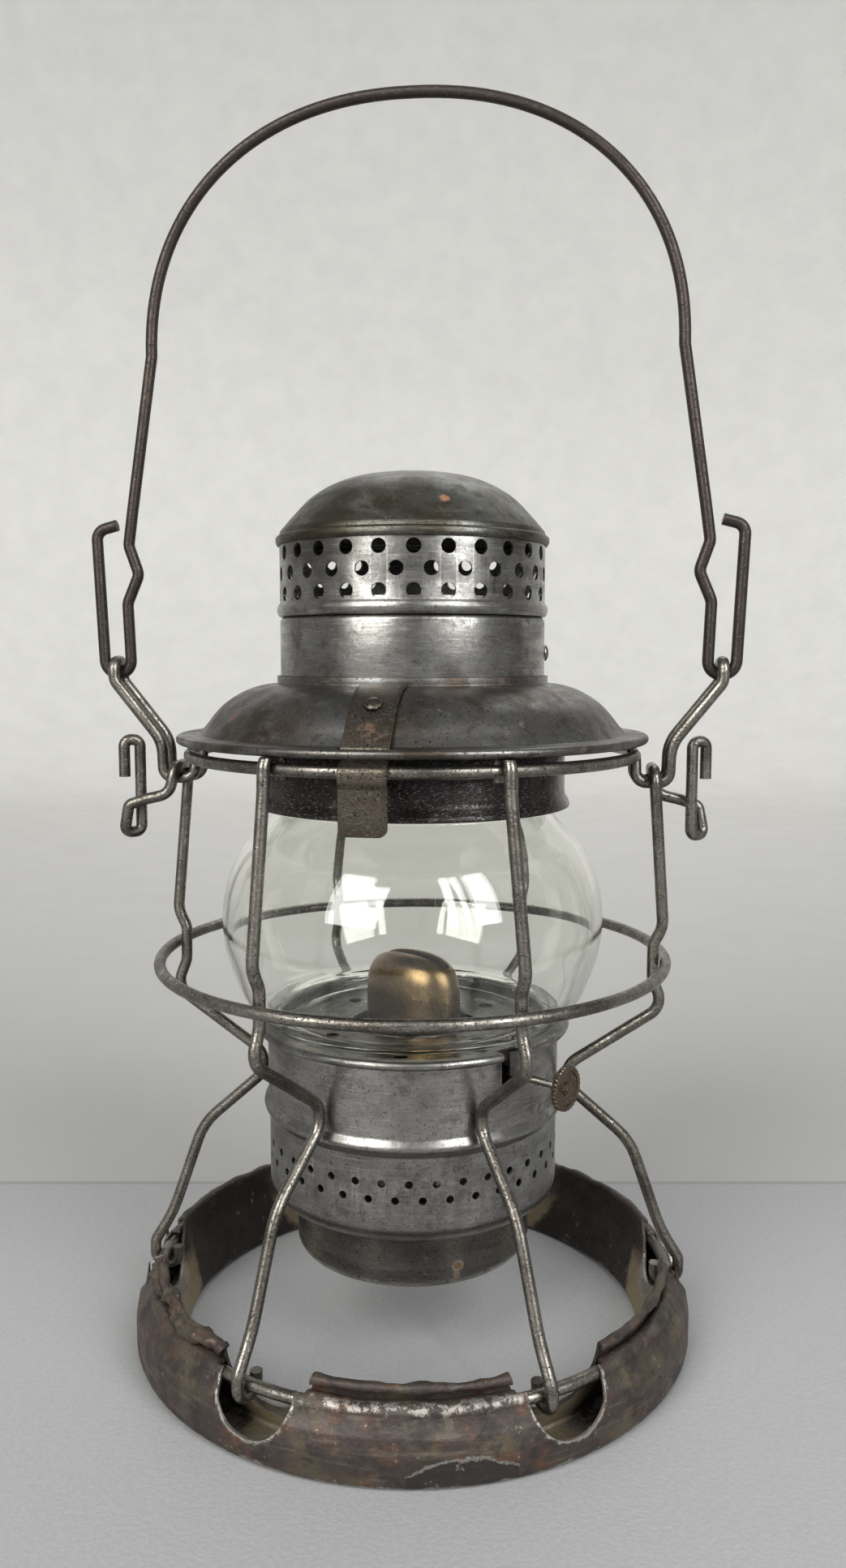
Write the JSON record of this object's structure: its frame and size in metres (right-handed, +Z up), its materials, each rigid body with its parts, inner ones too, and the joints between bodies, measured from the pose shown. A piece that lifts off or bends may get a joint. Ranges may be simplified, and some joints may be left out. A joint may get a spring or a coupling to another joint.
{
  "type": "railroad lantern",
  "caption": "Wire-guarded oil lantern with a clear bulbous globe, hinged vented lid, drop-in fount with a wick burner, pressed ring base and a swinging wire bail",
  "frame": {"origin": "on the surface it stands on, at the middle of the base ring", "axes": "+Z up, -Y towards the latch strap (front), the bail's ears along X"},
  "size_m": [0.2048, 0.1778, 0.3845],
  "materials": {
    "base_paint": "worn dark brown with an olive cast, bare at the edges",
    "frame_wire": "polished by wear, pitted and dark in the bends",
    "tinned_sheet": "tarnished, with level brushed scratches",
    "clear_glass": "clear, faintly yellow green at the edges",
    "fount_sheet": "tarnished, pitted",
    "burner_brass": "browned by heat",
    "wick_cotton": "woven cotton, scorched at the top",
    "wheel_steel": "brown, knurled edge",
    "dome_sheet": "dark, matte, with small rust spots",
    "brim_sheet": "matte grey brown, rusty at the rim",
    "dark_sheet": "near black, scratched",
    "strap_steel": "brown, speckled",
    "bail_wire": "near black with brown wear"
  },
  "bodies": {
    "frame": {"base_band": "base_paint", "base_ring": "frame_wire", "guard_hoop": "frame_wire", "top_ring": "frame_wire", "upright_front_left": "frame_wire", "upright_front_right": "frame_wire", "upright_side_right": "frame_wire", "upright_rear_right": "frame_wire", "upright_rear_left": "frame_wire", "upright_side_left": "frame_wire", "pot": "tinned_sheet", "globe_plate": "tinned_sheet", "globe": "clear_glass"},
    "lid": {"chimney_neck": "tinned_sheet", "neck_rivet": "tinned_sheet", "vent_band": "tinned_sheet", "dome_cap": "dome_sheet", "lid_brim": "brim_sheet", "globe_retainer": "dark_sheet", "retainer_seat": "dark_sheet", "lid_hinge_leaf": "brim_sheet"},
    "latch": {"latch_strap": "strap_steel", "latch_rivet": "strap_steel"},
    "bail": {"bail": "bail_wire"},
    "fount": {"fount": "fount_sheet", "burner_base": "burner_brass", "burner_deck": "burner_brass", "wick_tube": "burner_brass", "burner_hood": "burner_brass"},
    "knob": {"wick_shaft": "frame_wire", "thumb_wheel": "wheel_steel"},
    "wick": {"wick": "wick_cotton"}
  },
  "joints": [
    {"name": "lid_hinge", "type": "hinge", "parent": "frame", "child": "lid", "pos_m": [0, 0.069, 0.1857], "axis": [-1, 0, 0], "range_deg": [0, 100]},
    {"name": "latch_flex", "type": "hinge", "parent": "lid", "child": "latch", "pos_m": [-0.00304, -0.04349, 0.2082], "axis": [-0.9976, 0.0698, 0], "range_deg": [0, 2], "stiffness_Nm_per_rad": 0.6},
    {"name": "bail_swing", "type": "hinge", "parent": "frame", "child": "bail", "pos_m": [0, 0, 0.21], "axis": [1, 0, 0], "range_deg": [-95, 95]},
    {"name": "fount_twist", "type": "hinge", "parent": "frame", "child": "fount", "pos_m": [0, 0, 0.05], "axis": [0, 0, -1], "range_deg": [0, 9]},
    {"name": "wick_knob", "type": "hinge", "parent": "fount", "child": "knob", "pos_m": [-0.00221, -0.00334, 0.0915], "axis": [0.8339, -0.5519, 0], "range_deg": [0, 140]},
    {"name": "wick_lift", "type": "slide", "parent": "fount", "child": "wick", "axis": [0, 0, 1], "range_m": [0, 0.00586]}
  ],
  "couplings": [
    {"joint": "wick_knob", "follows": "wick_lift", "rad_per_m": 416.67}
  ]
}
